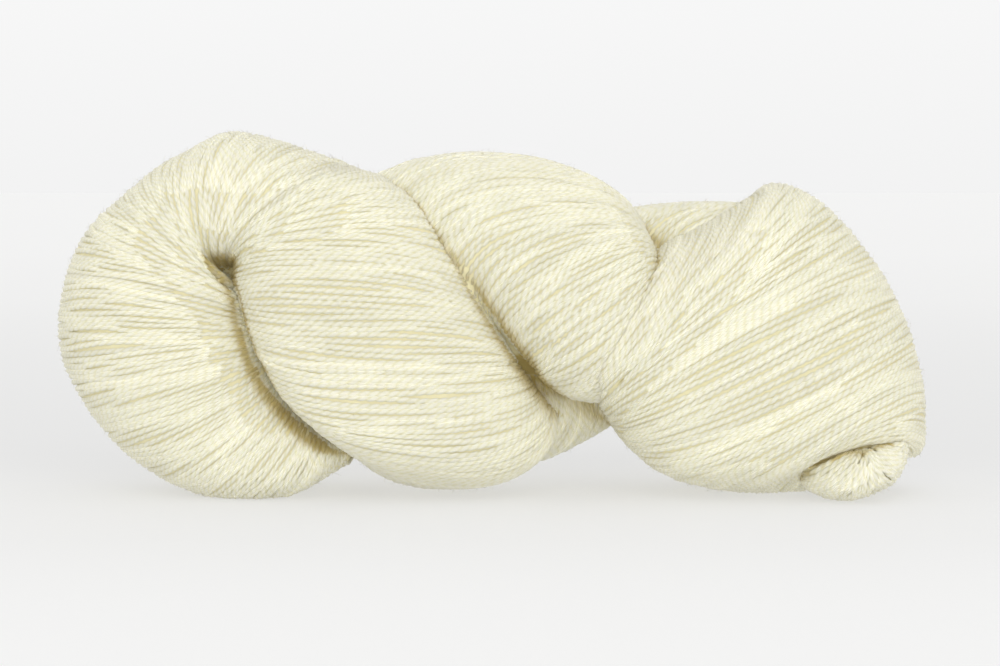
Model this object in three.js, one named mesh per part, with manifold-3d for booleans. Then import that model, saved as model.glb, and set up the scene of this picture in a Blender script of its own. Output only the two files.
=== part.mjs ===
// Hank of cream two-ply wool yarn, twisted into a two-strand rope, folded and tucked, lying on its side.
// Millimetres, +Z up, origin at the middle of the surface it rests on. The open front looks towards -Y.
//
// The hank is one solid of its wound form. Each lobe of the twist is a loft of closed yarn loops: a loop
// follows one turn of yarn from the crease where the lobe starts, across the front, to the outline or
// crease where it ends, and home behind. The lobes are joined, and the joint lines are the creases.
import * as THREE from "three";
import { mergeVertices } from "three/addons/utils/BufferGeometryUtils.js";
import Module from "manifold-3d";

const wasm = await Module();
wasm.setup();

// Driving dimensions
const twistAxisHeight = 43.4; // height of the line that the two strands twist about
const middleX = 0.2; // middle of the finished hank, taken off so that the origin is under it
const middleY = 2.5;
const loopSides = 32; // points on one yarn loop
const stepsPerRow = 2; // loft sections from one table row to the next

// How square a loop is: 2 is an ellipse, and more is fuller at the shoulders
const outerFullness = 2.1;
const innerFullness = 2.8;
const depthFullness = 2.2;
const strandFullness = 2.1;
const bowFocus = 1.5; // how far a loop's sideways bow keeps to its middle

// Loops seen from the front. A loop runs from its inner end to its outer end, both at depth middleY, and
// stands out by front and back. Lean turns the front half up. Bow bends the loop sideways, and swing bends
// its inner half one way and its outer half the other way.
const FLAT_COLUMNS = [
  "innerX", "innerZ", "outerX", "outerZ", "middleY", "front", "back", "lean", "bow", "swing",
];

// The left fold and the strand that crosses the front: loops fan out round the upper pinch, from the
// fold's lower right edge, over the left end and the top, and down to the underside of the strand
const FOLD_AND_STRAND = [
  [-35.5, 15.5, -36, 7.2, 0, 16, 16, 0, 0, 0],
  [-43, 18.5, -53, -0.5, 0, 25, 25, 0, 3.5, 0],
  [-49.5, 25, -73, -0.8, 0, 28.5, 28.5, 0, 3.5, 0],
  [-54.5, 32.5, -95, 12, 0, 29.5, 29.5, 0, 2.5, 0],
  [-57, 39, -109.5, 36, 0, 30, 30, 0, -2.2, 0],
  [-60, 46, -105.2, 62.2, 0, 30, 30, 0, -3.5, 0],
  [-63.5, 51.5, -88, 80, 0, 30, 30, 0, 1.2, 0],
  [-65.5, 54, -77, 86.7, 0, 30, 30, 0, 4.2, 0],
  [-66, 56, -66, 91.5, 0, 30, 30, 0, 5, 0],
  [-66, 56, -53, 89, -1.5, 29.5, 29.5, 0, 5.5, 0],
  [-65.5, 56.5, -40, 84.5, -3.5, 29, 29, 0, 5.5, 0],
  [-65, 56.5, -27, 79.7, -6, 28.5, 28, 0, 6, 0],
  [-64.5, 57, -16, 71.5, -8.5, 27.5, 27, 0, 7.5, 0],
  [-64.5, 57, -7.5, 58.5, -10, 27, 26.5, 0, 7.5, 0],
  [-65, 54, -2, 49, -10.5, 27, 26, 0, 4.5, 0.5],
  [-63.5, 49.5, 1.5, 42.5, -11, 26.5, 26, 0, 3, 1],
  [-61.5, 43.5, 5.5, 35.5, -11, 26, 26, 0, 0.5, 1.5],
  [-58.5, 37.5, 8, 31.5, -11, 26, 25.5, -2, -3, 1.5],
  [-54.5, 31, 11, 27.5, -11, 26, 24, -7, -4.5, 1],
  [-49, 25.5, 14.5, 23, -11, 25.5, 20, -17, -4.5, -1],
  [-38.5, 20.5, 16.5, 19.5, -8, 21, 14, -42, -2, -1],
  [-34.5, 19.5, 10.5, 18.5, -2, 18, 9, -66, -1, 0],
  [-28, 19, 1, 17.5, 5, 18.3, 3, -84, 0, 0],
];
const foldRows = [0, 13]; // first and last row of the left fold
const strandRows = [8, 22]; // first and last row of the crossing strand
const taperRows = 3; // the fold ends inside the strand, and the strand starts inside the fold,
const taperShrink = 0.12; // each of them slimmer by this share at its hidden end

// The loop that closes the right end: from its left edge over the crown and the right end to the underside
const END_LOOP = [
  [15.3, 29.4, 39.4, 60.4, 0, 22, 22, 0, -0.5, 0],
  [18.3, 27.6, 45, 64.5, 0, 29, 28, 0, -1.5, 0],
  [21.1, 26.1, 53.4, 68.5, 0, 32, 30.5, 0, -2, 0],
  [23.4, 25, 64.1, 74.4, 0, 33.5, 32, 0, -1.5, 0],
  [24.7, 24, 71.7, 78.7, 0, 34.5, 33, 0, -1, 0],
  [26, 22.8, 82.8, 74, 0, 35.5, 34, 0, 3, 0],
  [27.5, 21, 93.3, 63.2, 0, 36.5, 35, 0, 4.5, 0],
  [29, 18.4, 100.2, 53.2, 0, 37, 35.5, 0, 2.5, 0.5],
  [32.3, 13.9, 105.6, 41.5, 0, 37, 35.5, 0, -1.5, 1.5],
  [38.7, 8, 107.3, 36, 0, 36.5, 35, 0, -0.7, 1.7],
  [46.3, 3.8, 108.6, 31.2, 0, 36, 34.5, 2, 1, 1.5],
  [53.9, 1.3, 109.4, 27, 0, 35, 33.5, 4, 2, 1.5],
  [62.8, -0.4, 109.8, 22.7, 0, 33.5, 32, 6, 2.5, 1],
  [69.9, -1.2, 109.9, 18.5, 0, 31.5, 29, 9, 3, 0.5],
  [75, -1, 109.3, 10, 0, 29, 25, 12, 4, 0],
  [79, -0.4, 104, 8, 0, 21, 17, 11, 3, 0],
  [83, 3, 93, 8, 0, 9, 8, 5, 0, 0],
];

// The tip of the other end, which is tucked through the end loop and peeps out at the lower right
const TUCKED_TIP = [
  [90, 12.5, 76, 7.5, -18, 9, 9, 0, 0, 0],
  [90.5, 12, 77.5, 2.5, -18, 13.5, 13.5, 0, 1.5, 0],
  [91.5, 11.5, 86.8, -0.3, -18, 15, 15, 0, 1, 0],
  [92, 12, 98.3, 3.3, -18, 13.5, 13.5, 0, -1, 0],
  [92.5, 12.5, 103, 10, -18, 8, 8, 0, 0, 0],
  [93, 13.5, 103, 16.5, -17, 4, 4, 0, 0, 0],
];

// Loops on a strand that winds round the twist's axis. Turn is the place round the axis: 0 in front, 90
// on top, 180 behind and 270 below. Out is the loop's distance from the axis, along its half length and
// thick its half thickness. Slant turns it round the axis, tilt sinks its right end, and bow bends it.
const WINDING_COLUMNS = ["x", "turn", "out", "along", "thick", "slant", "tilt", "bow"];

// The second strand: from under the left fold, up behind, over the top, and down the front into the end loop
const SECOND_STRAND = [
  [-62, 280, 16.5, 15, 15.5, 0, 0, 0],
  [-54, 258, 19.5, 23, 18.7, 8, 0, 0],
  [-40, 222, 20.5, 31, 19.8, 16, 0, 0],
  [-25, 180, 21.6, 35, 20.9, 22, 0, 0],
  [-10, 135, 21.6, 37, 20.9, 18, 2, 0],
  [4, 90, 21.6, 35.5, 20.9, 8, 6, 0],
  [10, 64, 20.6, 31, 19.4, 14, 8, 0],
  [18.5, 40, 18.4, 24, 17, 22, 4, 0],
  [24.5, 12, 16.5, 20.5, 15.5, 35, -3, 1],
  [26.5, -4, 15.5, 19.5, 14.5, 42, 0, -4],
  [31, -38, 12.5, 15.5, 11.5, 45, 0, -3],
  [36, -70, 9.5, 11, 8.5, 40, 0, 0],
];

// The first strand after its crossing: from under the front strand, up behind, and into the end loop's top
const FIRST_STRAND_BEHIND = [
  [-14, -66, 17.5, 16, 17, 20, 0, 0],
  [-5, -95, 20, 22, 19.4, 20, 0, 0],
  [9, -137, 20.5, 28, 19.9, 22, 0, 0],
  [22, -180, 20.8, 30, 20.2, 22, 0, 0],
  [41, -220, 18.5, 29, 17.9, 20, 0, 0],
  [63, -262, 15.5, 24, 14.8, 12, 0, 0],
  [68, -295, 12.5, 20, 11.7, 8, 0, 0],
];

// Wool that is pressed together inside: the heart of the twist, and the bottom of the left fold's pinch
const FILLING_COLUMNS = ["x", "y", "z", "halfX", "halfY", "halfZ"];
const FILLINGS = [
  [0, 0, 43.4, 68, 16, 16],
  [-62, -1, 53, 9, 14, 9],
];
const fillingSides = 16;

/** The rows of a table as objects with named columns. */
function named(columns, rows) {
  return rows.map((row) => Object.fromEntries(columns.map((column, index) => [column, row[index]])));
}

/** One value on a smooth curve through four evenly spaced values, between the second and the third. */
function smoothValue(before, from, to, after, part) {
  const slope = to - before;
  const bend = 2 * before - 5 * from + 4 * to - after;
  const twist = 3 * from - before - 3 * to + after;
  return 0.5 * (2 * from + slope * part + bend * part ** 2 + twist * part ** 3);
}

/** A table row between the given rows, at a place such as 2.33. */
function smoothRow(rows, place) {
  const index = Math.min(Math.floor(place), rows.length - 2);
  const from = rows[index];
  const to = rows[index + 1];
  const result = {};
  for (const column of Object.keys(from)) {
    const before = index > 0 ? rows[index - 1][column] : 2 * from[column] - to[column];
    const after = index < rows.length - 2 ? rows[index + 2][column] : 2 * to[column] - from[column];
    result[column] = smoothValue(before, from[column], to[column], after, place - index);
  }
  return result;
}

/** A power that keeps the sign of its base. */
function signedPower(base, exponent) {
  return Math.sign(base) * Math.abs(base) ** exponent;
}

/** The points of one loop that is seen from the front. */
function flatLoop(row) {
  const inner = new THREE.Vector3(row.innerX, row.middleY, row.innerZ);
  const outer = new THREE.Vector3(row.outerX, row.middleY, row.outerZ);
  const middle = inner.clone().lerp(outer, 0.5);
  const halfRun = outer.clone().sub(inner).multiplyScalar(0.5);
  const sideways = new THREE.Vector3(-halfRun.z, 0, halfRun.x).normalize();
  const lean = THREE.MathUtils.degToRad(row.lean);
  const frontward = new THREE.Vector3(0, -Math.cos(lean), Math.sin(lean)).multiplyScalar(row.front);
  const backward = new THREE.Vector3(0, -row.back, 0);
  const points = [];
  for (let side = 0; side < loopSides; side += 1) {
    const angle = (2 * Math.PI * side) / loopSides;
    const onOuterHalf = Math.cos(angle) > 0;
    const run = signedPower(Math.cos(angle), 2 / (onOuterHalf ? outerFullness : innerFullness));
    const depth = signedPower(Math.sin(angle), 2 / (onOuterHalf ? depthFullness : innerFullness));
    const point = middle.clone().addScaledVector(halfRun, run);
    point.addScaledVector(depth > 0 ? frontward : backward, depth);
    point.addScaledVector(sideways, row.bow * Math.abs(depth) ** bowFocus);
    point.addScaledVector(sideways, 2 * row.swing * run * Math.abs(depth));
    points.push(point);
  }
  return points;
}

/** The points of one loop on a strand that winds round the twist's axis. */
function windingLoop(row) {
  const turn = THREE.MathUtils.degToRad(row.turn);
  const slant = THREE.MathUtils.degToRad(row.slant);
  const tilt = THREE.MathUtils.degToRad(row.tilt);
  const outward = new THREE.Vector3(0, -Math.cos(turn), Math.sin(turn));
  const round = new THREE.Vector3(0, Math.sin(turn), Math.cos(turn));
  const middle = new THREE.Vector3(row.x, 0, twistAxisHeight).addScaledVector(outward, row.out);
  const halfRun = new THREE.Vector3(Math.cos(slant) * Math.cos(tilt), 0, 0)
    .addScaledVector(outward, -Math.sin(tilt))
    .addScaledVector(round, Math.sin(slant))
    .multiplyScalar(row.along);
  const sideways = new THREE.Vector3(-Math.sin(slant), 0, 0).addScaledVector(round, Math.cos(slant));
  const points = [];
  for (let side = 0; side < loopSides; side += 1) {
    const angle = (2 * Math.PI * side) / loopSides;
    const run = signedPower(Math.cos(angle), 2 / strandFullness);
    const depth = signedPower(Math.sin(angle), 2 / strandFullness);
    const point = middle.clone().addScaledVector(halfRun, run).addScaledVector(outward, row.thick * depth);
    point.addScaledVector(sideways, row.bow * Math.abs(depth) ** bowFocus);
    points.push(point);
  }
  return points;
}

/** The loops of a lobe, from one table row to another. */
function loopsBetween(rows, makeLoop, firstRow = 0, lastRow = rows.length - 1) {
  const loops = [];
  const count = (lastRow - firstRow) * stepsPerRow;
  for (let step = 0; step <= count; step += 1) {
    loops.push(makeLoop(smoothRow(rows, firstRow + step / stepsPerRow)));
  }
  return loops;
}

/** Loops that get slimmer towards their first one, about their own middles. */
function slimStart(loops) {
  const taperSteps = taperRows * stepsPerRow;
  return loops.map((loop, step) => {
    const size = 1 - taperShrink * Math.max(0, 1 - step / taperSteps);
    const middle = middleOf(loop);
    return loop.map((point) => point.clone().lerp(middle, 1 - size));
  });
}

/** The middle of a loop's points. */
function middleOf(loop) {
  return loop.reduce((sum, point) => sum.add(point), new THREE.Vector3()).divideScalar(loop.length);
}

/** A closed body through a row of loops, with a cap on its first and its last loop. */
function loft(loops) {
  const sides = loops[0].length;
  const points = loops.flat();
  const triangles = [];
  for (let loop = 0; loop < loops.length - 1; loop += 1) {
    for (let side = 0; side < sides; side += 1) {
      const here = loop * sides + side;
      const beside = loop * sides + ((side + 1) % sides);
      triangles.push(here, beside, here + sides, beside, beside + sides, here + sides);
    }
  }
  for (const [loop, order] of [[0, [1, 0]], [loops.length - 1, [0, 1]]]) {
    points.push(middleOf(loops[loop]));
    for (let side = 0; side < sides; side += 1) {
      const edge = [loop * sides + side, loop * sides + ((side + 1) % sides)];
      triangles.push(edge[order[0]], edge[order[1]], points.length - 1);
    }
  }
  const geometry = new THREE.BufferGeometry().setFromPoints(points);
  geometry.setIndex(triangles);
  return geometry;
}

/** A filling: a ball stretched to its three half sizes. */
function filling(row) {
  return new THREE.SphereGeometry(1, fillingSides, fillingSides)
    .scale(row.halfX, row.halfY, row.halfZ)
    .translate(row.x, row.y, row.z);
}

/** The room above the surface that the hank rests on. */
function roomAboveSurface() {
  const side = 400;
  return new THREE.BoxGeometry(side, side, side).translate(0, 0, side / 2);
}

/** Six times the volume of a closed geometry, negative if its faces point in. */
function signedVolume(positions, triangles) {
  const corners = [new THREE.Vector3(), new THREE.Vector3(), new THREE.Vector3()];
  let sum = 0;
  for (let first = 0; first < triangles.length; first += 3) {
    corners.forEach((corner, index) => corner.fromArray(positions, 3 * triangles[first + index]));
    sum += corners[0].dot(corners[1].clone().cross(corners[2]));
  }
  return sum;
}

/** A closed geometry as a solid that can be joined and cut, with its faces turned outwards. */
function solidOf(geometry) {
  const bare = geometry.clone();
  bare.deleteAttribute("normal");
  bare.deleteAttribute("uv");
  const merged = mergeVertices(bare, 1e-4);
  const vertProperties = new Float32Array(merged.attributes.position.array);
  const triVerts = new Uint32Array(merged.index.array);
  if (signedVolume(vertProperties, triVerts) < 0) {
    triVerts.reverse();
  }
  return new wasm.Manifold(new wasm.Mesh({ numProp: 3, vertProperties, triVerts }));
}

/** A joined or cut solid as a geometry that can be shown. */
function geometryOf(solid) {
  const mesh = solid.getMesh();
  const geometry = new THREE.BufferGeometry();
  geometry.setAttribute("position", new THREE.BufferAttribute(new Float32Array(mesh.vertProperties), 3));
  geometry.setIndex(new THREE.BufferAttribute(new Uint32Array(mesh.triVerts), 1));
  geometry.computeVertexNormals();
  return geometry;
}

/** The whole hank: all its lobes and fillings joined, and flat where it rests. */
function hankGeometry() {
  const flatRows = (table) => named(FLAT_COLUMNS, table);
  const windingRows = (table) => named(WINDING_COLUMNS, table);
  const foldAndStrand = flatRows(FOLD_AND_STRAND);
  const lobes = [
    slimStart(loopsBetween(foldAndStrand, flatLoop, ...foldRows).reverse()),
    slimStart(loopsBetween(foldAndStrand, flatLoop, ...strandRows)),
    loopsBetween(flatRows(END_LOOP), flatLoop),
    loopsBetween(flatRows(TUCKED_TIP), flatLoop),
    loopsBetween(windingRows(SECOND_STRAND), windingLoop),
    loopsBetween(windingRows(FIRST_STRAND_BEHIND), windingLoop),
  ].map(loft);
  const bodies = [...lobes, ...named(FILLING_COLUMNS, FILLINGS).map(filling)].map(solidOf);
  const joined = bodies.reduce((hank, body) => hank.add(body));
  return geometryOf(joined.intersect(solidOf(roomAboveSurface()))).translate(-middleX, -middleY, 0);
}

const creamWool = new THREE.MeshStandardMaterial({ color: 0xeeead3, roughness: 0.95, metalness: 0 });

const hank = new THREE.Mesh(hankGeometry(), creamWool);
hank.name = "hank";

const group = new THREE.Group();
group.add(hank);

export default group;
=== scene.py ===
# %% [markdown]
# # A hank of two-ply wool
#
# A hank is one long length of yarn. It was wound on a reel into a big open loop, the loop was twisted into a
# rope, and the rope was folded on itself, with one end tucked through the other. So the real thing has only
# one material and one part, and all of its looks come from hundreds of turns of yarn lying side by side.
# The construction already holds the wound form as one solid. This lesson lays the yarn on it.

# %% The frame
import math
from collections import namedtuple

import bpy
import numpy as np
from mathutils.bvhtree import BVHTree
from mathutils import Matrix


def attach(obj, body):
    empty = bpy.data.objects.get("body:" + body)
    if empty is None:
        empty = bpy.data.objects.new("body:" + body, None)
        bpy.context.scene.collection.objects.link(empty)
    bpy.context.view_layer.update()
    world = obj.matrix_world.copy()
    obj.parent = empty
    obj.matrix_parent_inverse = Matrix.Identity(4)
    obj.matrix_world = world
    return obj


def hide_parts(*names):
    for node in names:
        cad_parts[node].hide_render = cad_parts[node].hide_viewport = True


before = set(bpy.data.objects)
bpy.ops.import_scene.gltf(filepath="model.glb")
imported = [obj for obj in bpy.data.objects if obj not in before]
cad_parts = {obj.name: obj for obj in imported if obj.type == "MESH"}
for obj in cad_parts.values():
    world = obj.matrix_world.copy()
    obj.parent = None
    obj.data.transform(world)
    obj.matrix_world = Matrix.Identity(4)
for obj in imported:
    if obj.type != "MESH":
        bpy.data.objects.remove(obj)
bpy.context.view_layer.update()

# %% [markdown]
# ## The camera
#
# The photograph was taken from a little above the table with a long lens, so that near and far parts of the
# hank look nearly the same size. A 100 mm lens at 0.7 m gives that. The camera comes first, because all later
# choices about detail depend on how large a yarn looks: here it is about six pixels wide.

# %% Camera
MM = 0.001
CAMERA_TARGET = np.array([1.65, -2.5, 40.3]) * MM
CAMERA_DISTANCE = 706 * MM
CAMERA_ELEVATION = math.radians(3)
CAMERA_LENS = 100
FILM_WIDTH = 36

bpy.ops.object.select_all(action="DESELECT")
camera_place = CAMERA_TARGET + CAMERA_DISTANCE * np.array(
    [0, -math.cos(CAMERA_ELEVATION), math.sin(CAMERA_ELEVATION)]
)
bpy.ops.object.camera_add(location=camera_place, rotation=(math.radians(90) - CAMERA_ELEVATION, 0, 0))
camera = bpy.context.object
camera.name = "photo_camera"
camera.data.lens = CAMERA_LENS
camera.data.sensor_width = FILM_WIDTH
bpy.context.scene.camera = camera
print("camera at", [round(value, 3) for value in camera_place])

# %% [markdown]
# ## The wound form
#
# Each lobe of the twist is a stack of closed loops, and one loop is one turn of yarn. A short table says how
# the loops change from one end of a lobe to the other, and a smooth curve through its rows gives every loop
# in between. These are the tables of the construction, in millimetres, so the yarn lies on its solid. Only
# the tucked tip is a little plumper here, because its yarns swell out from under the loop.

# %% Tables of the lobes
TWIST_AXIS_HEIGHT = 43.4
MIDDLE = np.array([0.2, 2.5, 0])
OUTER_FULLNESS = 2.1
INNER_FULLNESS = 2.8
DEPTH_FULLNESS = 2.2
STRAND_FULLNESS = 2.1
BOW_FOCUS = 1.5
TAPER_ROWS = 3
TAPER_SHRINK = 0.12

FLAT_COLUMNS = [
    "inner_x", "inner_z", "outer_x", "outer_z", "middle_y", "front", "back", "lean", "bow", "swing",
]
FOLD_AND_STRAND = [
    [-35.5, 15.5, -36, 7.2, 0, 16, 16, 0, 0, 0],
    [-43, 18.5, -53, -0.5, 0, 25, 25, 0, 3.5, 0],
    [-49.5, 25, -73, -0.8, 0, 28.5, 28.5, 0, 3.5, 0],
    [-54.5, 32.5, -95, 12, 0, 29.5, 29.5, 0, 2.5, 0],
    [-57, 39, -109.5, 36, 0, 30, 30, 0, -2.2, 0],
    [-60, 46, -105.2, 62.2, 0, 30, 30, 0, -3.5, 0],
    [-63.5, 51.5, -88, 80, 0, 30, 30, 0, 1.2, 0],
    [-65.5, 54, -77, 86.7, 0, 30, 30, 0, 4.2, 0],
    [-66, 56, -66, 91.5, 0, 30, 30, 0, 5, 0],
    [-66, 56, -53, 89, -1.5, 29.5, 29.5, 0, 5.5, 0],
    [-65.5, 56.5, -40, 84.5, -3.5, 29, 29, 0, 5.5, 0],
    [-65, 56.5, -27, 79.7, -6, 28.5, 28, 0, 6, 0],
    [-64.5, 57, -16, 71.5, -8.5, 27.5, 27, 0, 7.5, 0],
    [-64.5, 57, -7.5, 58.5, -10, 27, 26.5, 0, 7.5, 0],
    [-65, 54, -2, 49, -10.5, 27, 26, 0, 4.5, 0.5],
    [-63.5, 49.5, 1.5, 42.5, -11, 26.5, 26, 0, 3, 1],
    [-61.5, 43.5, 5.5, 35.5, -11, 26, 26, 0, 0.5, 1.5],
    [-58.5, 37.5, 8, 31.5, -11, 26, 25.5, -2, -3, 1.5],
    [-54.5, 31, 11, 27.5, -11, 26, 24, -7, -4.5, 1],
    [-49, 25.5, 14.5, 23, -11, 25.5, 20, -17, -4.5, -1],
    [-38.5, 20.5, 16.5, 19.5, -8, 21, 14, -42, -2, -1],
    [-34.5, 19.5, 10.5, 18.5, -2, 18, 9, -66, -1, 0],
    [-28, 19, 1, 17.5, 5, 18.3, 3, -84, 0, 0],
]
END_LOOP = [
    [15.3, 29.4, 39.4, 60.4, 0, 22, 22, 0, -0.5, 0],
    [18.3, 27.6, 45, 64.5, 0, 29, 28, 0, -1.5, 0],
    [21.1, 26.1, 53.4, 68.5, 0, 32, 30.5, 0, -2, 0],
    [23.4, 25, 64.1, 74.4, 0, 33.5, 32, 0, -1.5, 0],
    [24.7, 24, 71.7, 78.7, 0, 34.5, 33, 0, -1, 0],
    [26, 22.8, 82.8, 74, 0, 35.5, 34, 0, 3, 0],
    [27.5, 21, 93.3, 63.2, 0, 36.5, 35, 0, 4.5, 0],
    [29, 18.4, 100.2, 53.2, 0, 37, 35.5, 0, 2.5, 0.5],
    [32.3, 13.9, 105.6, 41.5, 0, 37, 35.5, 0, -1.5, 1.5],
    [38.7, 8, 107.3, 36, 0, 36.5, 35, 0, -0.7, 1.7],
    [46.3, 3.8, 108.6, 31.2, 0, 36, 34.5, 2, 1, 1.5],
    [53.9, 1.3, 109.4, 27, 0, 35, 33.5, 4, 2, 1.5],
    [62.8, -0.4, 109.8, 22.7, 0, 33.5, 32, 6, 2.5, 1],
    [69.9, -1.2, 109.9, 18.5, 0, 31.5, 29, 9, 3, 0.5],
    [75, -1, 109.3, 10, 0, 29, 25, 12, 4, 0],
    [79, -0.4, 104, 8, 0, 21, 17, 11, 3, 0],
    [83, 3, 93, 8, 0, 9, 8, 5, 0, 0],
]
TUCKED_TIP = [
    [90, 14.5, 76, 7.5, -18, 10, 10, 0, 0, 0],
    [90.5, 14, 77.5, 2.5, -18, 15, 15, 0, 1.5, 0],
    [91.5, 14, 86.8, -0.3, -18, 17, 16.5, 0, 1, 0],
    [92, 14.5, 98.3, 3.3, -18, 15.5, 15, 0, -1, 0],
    [92.5, 15, 103, 10, -18, 9.5, 9, 0, 0, 0],
    [93, 16, 103, 16.5, -17, 5, 5, 0, 0, 0],
]

WINDING_COLUMNS = ["x", "turn", "out", "along", "thick", "slant", "tilt", "bow"]
SECOND_STRAND = [
    [-62, 280, 16.5, 15, 15.5, 0, 0, 0],
    [-54, 258, 19.5, 23, 18.7, 8, 0, 0],
    [-40, 222, 20.5, 31, 19.8, 16, 0, 0],
    [-25, 180, 21.6, 35, 20.9, 22, 0, 0],
    [-10, 135, 21.6, 37, 20.9, 18, 2, 0],
    [4, 90, 21.6, 35.5, 20.9, 8, 6, 0],
    [10, 64, 20.6, 31, 19.4, 14, 8, 0],
    [18.5, 40, 18.4, 24, 17, 22, 4, 0],
    [24.5, 12, 16.5, 20.5, 15.5, 35, -3, 1],
    [26.5, -4, 15.5, 19.5, 14.5, 42, 0, -4],
    [31, -38, 12.5, 15.5, 11.5, 45, 0, -3],
    [36, -70, 9.5, 11, 8.5, 40, 0, 0],
]
FIRST_STRAND_BEHIND = [
    [-14, -66, 17.5, 16, 17, 20, 0, 0],
    [-5, -95, 20, 22, 19.4, 20, 0, 0],
    [9, -137, 20.5, 28, 19.9, 22, 0, 0],
    [22, -180, 20.8, 30, 20.2, 22, 0, 0],
    [41, -220, 18.5, 29, 17.9, 20, 0, 0],
    [63, -262, 15.5, 24, 14.8, 12, 0, 0],
    [68, -295, 12.5, 20, 11.7, 8, 0, 0],
]


# %% Loops from a table
def smooth_rows(rows, places):
    """Table rows at in-between places, on a smooth curve through the rows."""
    rows = np.asarray(rows, float)
    last = len(rows) - 1
    index = np.clip(np.floor(places).astype(int), 0, last - 1)
    part = (places - index)[:, None]
    here, there = rows[index], rows[index + 1]
    before = np.where((index > 0)[:, None], rows[np.maximum(index - 1, 0)], 2 * here - there)
    after = np.where((index < last - 1)[:, None], rows[np.minimum(index + 2, last)], 2 * there - here)
    bend = 2 * before - 5 * here + 4 * there - after
    twist = 3 * here - before - 3 * there + after
    return 0.5 * (2 * here + (there - before) * part + bend * part**2 + twist * part**3)


def signed_power(base, exponent):
    """A power that keeps the sign of its base."""
    return np.sign(base) * np.abs(base) ** exponent


def columns_of(names, rows):
    """The rows' columns by name, each ready to be combined with points round a loop."""
    return {name: rows[:, index, None] for index, name in enumerate(names)}


def flat_loops(rows, angles):
    """Loops seen from the front, as an array of loops, points and x, y, z."""
    row = columns_of(FLAT_COLUMNS, rows)
    half_x, half_z = (row["outer_x"] - row["inner_x"]) / 2, (row["outer_z"] - row["inner_z"]) / 2
    length = np.hypot(half_x, half_z)
    on_outer_half = np.cos(angles) > 0
    run = signed_power(np.cos(angles), 2 / np.where(on_outer_half, OUTER_FULLNESS, INNER_FULLNESS))
    depth = signed_power(np.sin(angles), 2 / np.where(on_outer_half, DEPTH_FULLNESS, INNER_FULLNESS))
    bend = row["bow"] * np.abs(depth) ** BOW_FOCUS + 2 * row["swing"] * run * np.abs(depth)
    lean = np.radians(row["lean"])
    in_front = np.maximum(depth, 0) * row["front"]
    x = row["inner_x"] + half_x + half_x * run - half_z / length * bend
    y = row["middle_y"] - in_front * np.cos(lean) - np.minimum(depth, 0) * row["back"]
    z = row["inner_z"] + half_z + half_z * run + half_x / length * bend + in_front * np.sin(lean)
    return np.stack([x, y, z], axis=2)


def winding_loops(rows, angles):
    """Loops on a strand that winds round the twist's axis, as an array of loops, points and x, y, z."""
    row = columns_of(WINDING_COLUMNS, rows)
    turn, slant, tilt = (np.radians(row[name]) for name in ("turn", "slant", "tilt"))
    run = row["along"] * signed_power(np.cos(angles), 2 / STRAND_FULLNESS)
    depth = row["thick"] * signed_power(np.sin(angles), 2 / STRAND_FULLNESS)
    bend = row["bow"] * np.abs(depth / row["thick"]) ** BOW_FOCUS
    outward = row["out"] + depth - np.sin(tilt) * run
    sideways = np.sin(slant) * run + np.cos(slant) * bend
    x = row["x"] + np.cos(slant) * np.cos(tilt) * run - np.sin(slant) * bend
    y = -np.cos(turn) * outward + np.sin(turn) * sideways
    z = TWIST_AXIS_HEIGHT + np.sin(turn) * outward + np.cos(turn) * sideways
    return np.stack([x, y, z], axis=2)


def slim_start(loops, rows_from_start):
    """Loops that get slimmer towards the lobe's first one, which hides inside its neighbour."""
    size = 1 - TAPER_SHRINK * np.maximum(0, 1 - rows_from_start / TAPER_ROWS)
    middle = loops.mean(axis=1, keepdims=True)
    return middle + (loops - middle) * size[:, None, None]


# %% [markdown]
# ## The lobes
#
# Six lobes make the hank: the left fold, the strand that crosses the front, two strands that go on behind it,
# the loop that closes the right end, and the tip of the other end, tucked through that loop. The fold and the
# crossing strand share one table, because one fans out into the other. A long lobe becomes two pieces, so
# that no mesh grows too large to open.

# %% Lobes
Lobe = namedtuple("Lobe", "pieces table make_loops first_row last_row start_angle slim")
FRONT_STARTS_AT = 180
WINDING_STARTS_AT = 270
FOLD_ROWS = (13, 0)
STRAND_ROWS = (8, 22)
FULL_TURN = 2 * math.pi
LINE_POINTS = 360
SHARE_ROUND = np.arange(LINE_POINTS) / LINE_POINTS

lobes = [
    Lobe(("left_fold_upper", "left_fold_lower"), FOLD_AND_STRAND, flat_loops, *FOLD_ROWS,
         FRONT_STARTS_AT, True),
    Lobe(("crossing_strand",), FOLD_AND_STRAND, flat_loops, *STRAND_ROWS, FRONT_STARTS_AT, True),
    Lobe(("second_strand_behind", "second_strand_front"), SECOND_STRAND, winding_loops, 0, 11,
         WINDING_STARTS_AT, False),
    Lobe(("first_strand_behind",), FIRST_STRAND_BEHIND, winding_loops, 0, 6, WINDING_STARTS_AT, False),
    Lobe(("end_loop_left", "end_loop_right"), END_LOOP, flat_loops, 0, 16, FRONT_STARTS_AT, False),
    Lobe(("tucked_tip",), TUCKED_TIP, flat_loops, 0, 5, FRONT_STARTS_AT, False),
]


def lobe_loops(lobe, places):
    """A lobe's loops at places in its table, in the hank's own frame, as loops, points and x, y, z."""
    angles = math.radians(lobe.start_angle) + FULL_TURN * SHARE_ROUND
    loops = lobe.make_loops(smooth_rows(lobe.table, places), angles)
    if lobe.slim:
        loops = slim_start(loops, np.abs(places - lobe.first_row))
    return loops - MIDDLE


# %% [markdown]
# ## Creases
#
# Yarn that dives into a crease gets less light and looks browner, and its colour is painted browner there
# too:
# a painted shade on top of the shadow. How deep a point lies in a crease is measured on the construction's
# solid: a few rays leave the point, straight up and leaning to four sides, and the sooner they meet the solid
# again, the narrower the crease. The same solid tells which yarns are buried and needn't be made.

# %% Directions and depths
NEARLY_ZERO = 1e-9


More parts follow.
